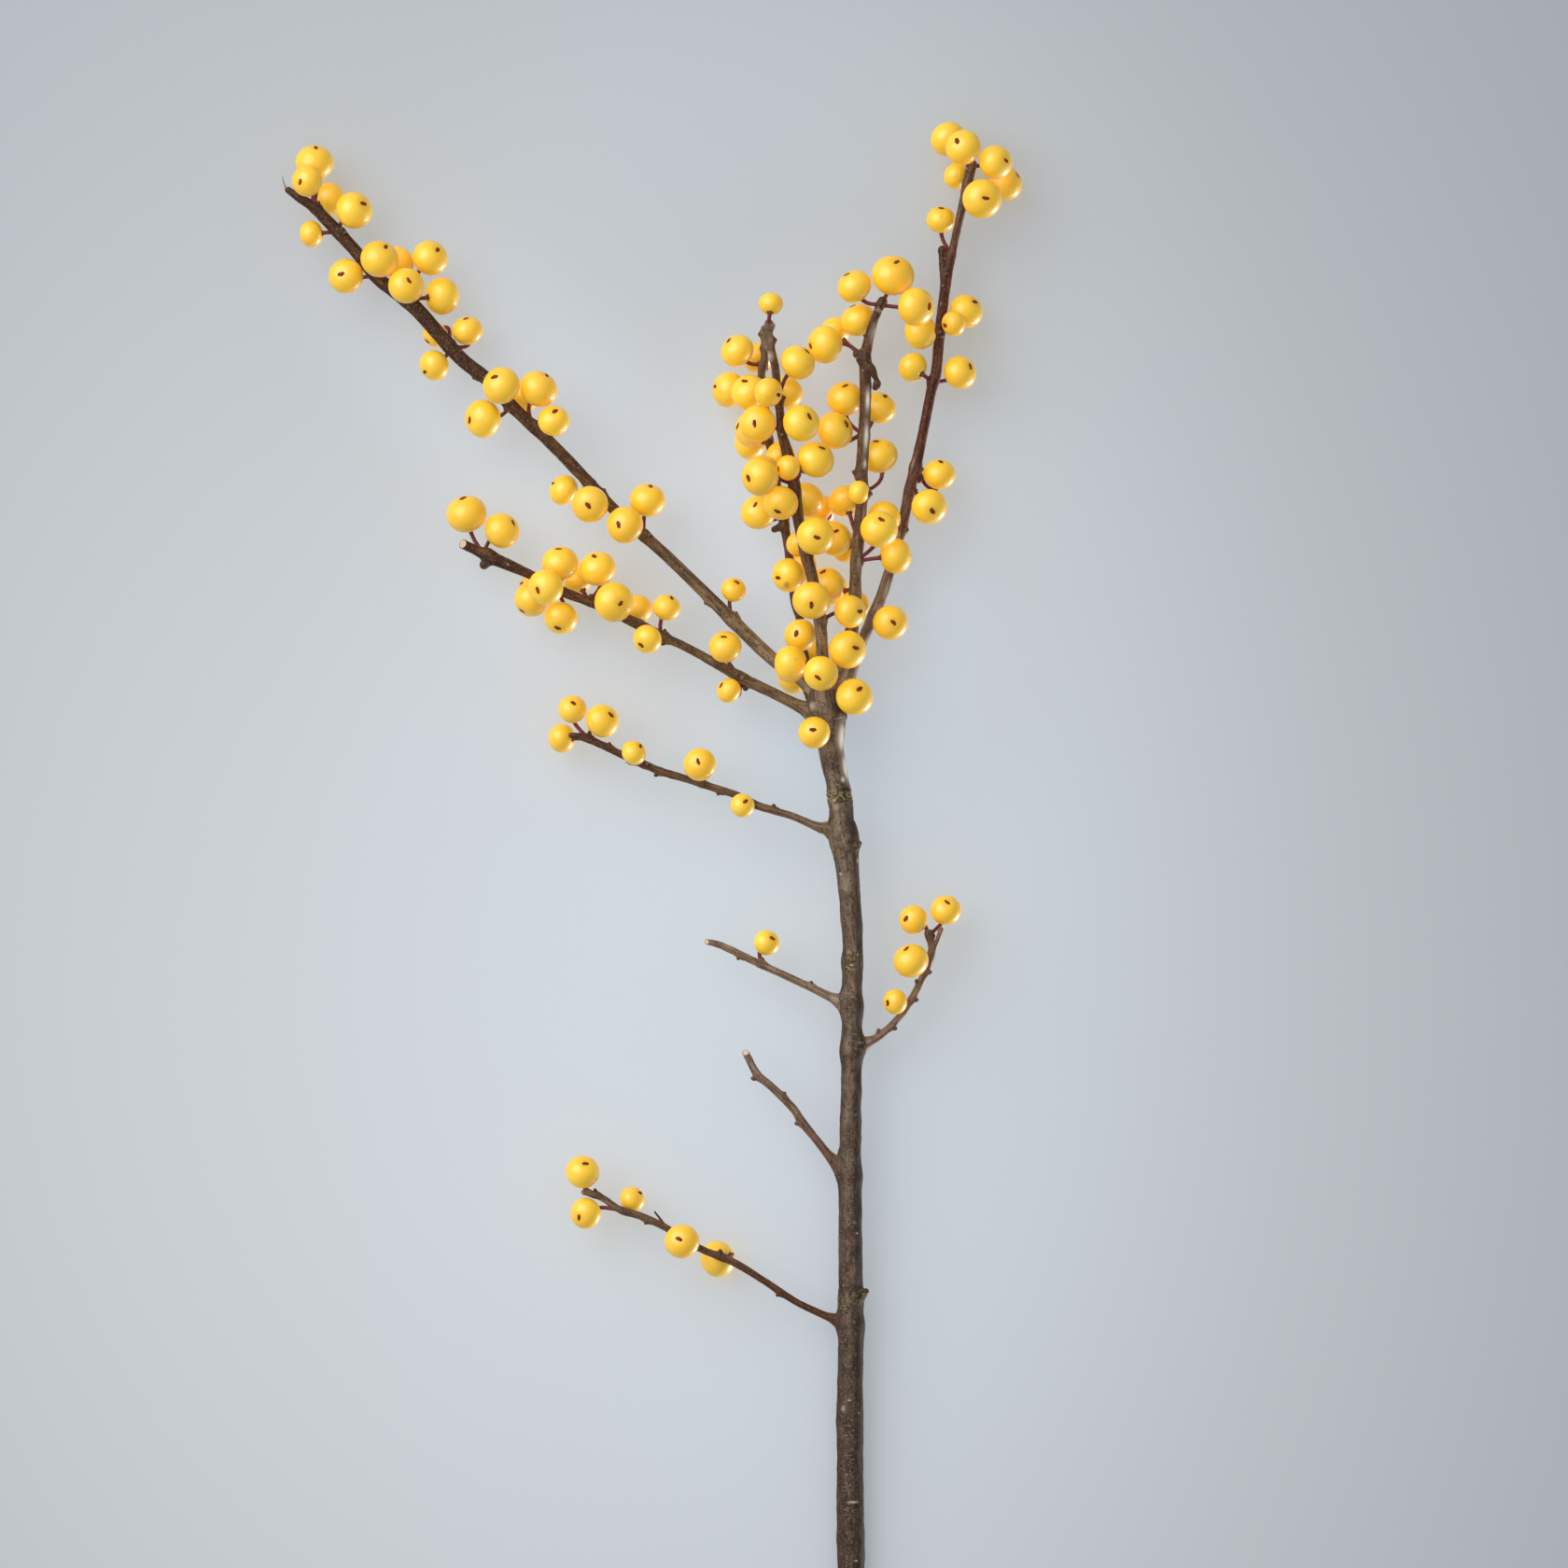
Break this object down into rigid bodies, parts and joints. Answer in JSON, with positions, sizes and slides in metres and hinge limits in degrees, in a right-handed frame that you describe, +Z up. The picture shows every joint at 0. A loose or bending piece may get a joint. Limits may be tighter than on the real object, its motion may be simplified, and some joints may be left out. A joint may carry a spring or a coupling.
{
  "type": "winterberry sprig",
  "caption": "Cut winterberry branch lying down: a long woody stem that forks into fruiting shoots set with glossy yellow berries, with short side twigs below.",
  "frame": {"origin": "on the surface the sprig lies on, below the middle of its bounding box", "axes": "+Y along the stem from its cut end to the shoot tips, +Z up from the surface, +X to the right of the stem as seen from above"},
  "size_m": [0.1577, 0.3499, 0.0303],
  "materials": {
    "bark": "matt bark with pale pores",
    "berry": "waxy satin skin"
  },
  "bodies": {
    "root": {"main_stem": "bark", "spray_left_upper": "berry", "spray_left_lower": "berry", "spray_centre_front": "berry", "spray_centre_back": "berry", "spray_centre_right": "berry", "spray_right": "berry", "twig_left_1": "berry", "twig_left_2": "berry", "twig_left_3": "bark", "twig_left_4": "berry", "twig_right_1": "berry"}
  },
  "joints": []
}
